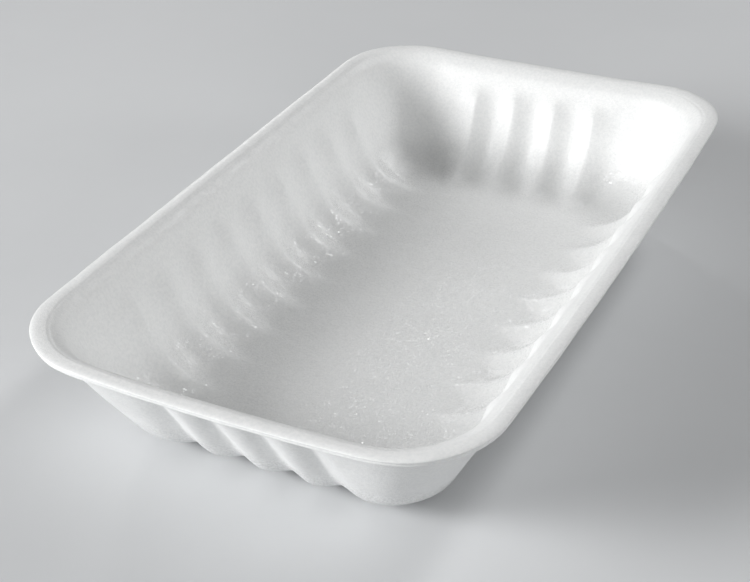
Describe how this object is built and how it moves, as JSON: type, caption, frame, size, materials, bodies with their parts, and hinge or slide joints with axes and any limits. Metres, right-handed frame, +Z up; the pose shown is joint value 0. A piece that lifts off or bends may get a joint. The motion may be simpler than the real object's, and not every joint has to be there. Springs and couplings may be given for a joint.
{
  "type": "foam food tray",
  "caption": "Empty deep rectangular tray of white foamed plastic, with fluted sloping walls, a flat floor and a crowned lip, for holding a portion of food.",
  "frame": {"origin": "middle of the underside, on the surface the tray stands on", "axes": "+Z up, +Y along the long side"},
  "size_m": [0.1358, 0.2248, 0.0394],
  "materials": {
    "foam": "satin white foamed polystyrene with a fine grain of closed cells"
  },
  "bodies": {
    "root": {"tray": "foam"}
  },
  "joints": []
}
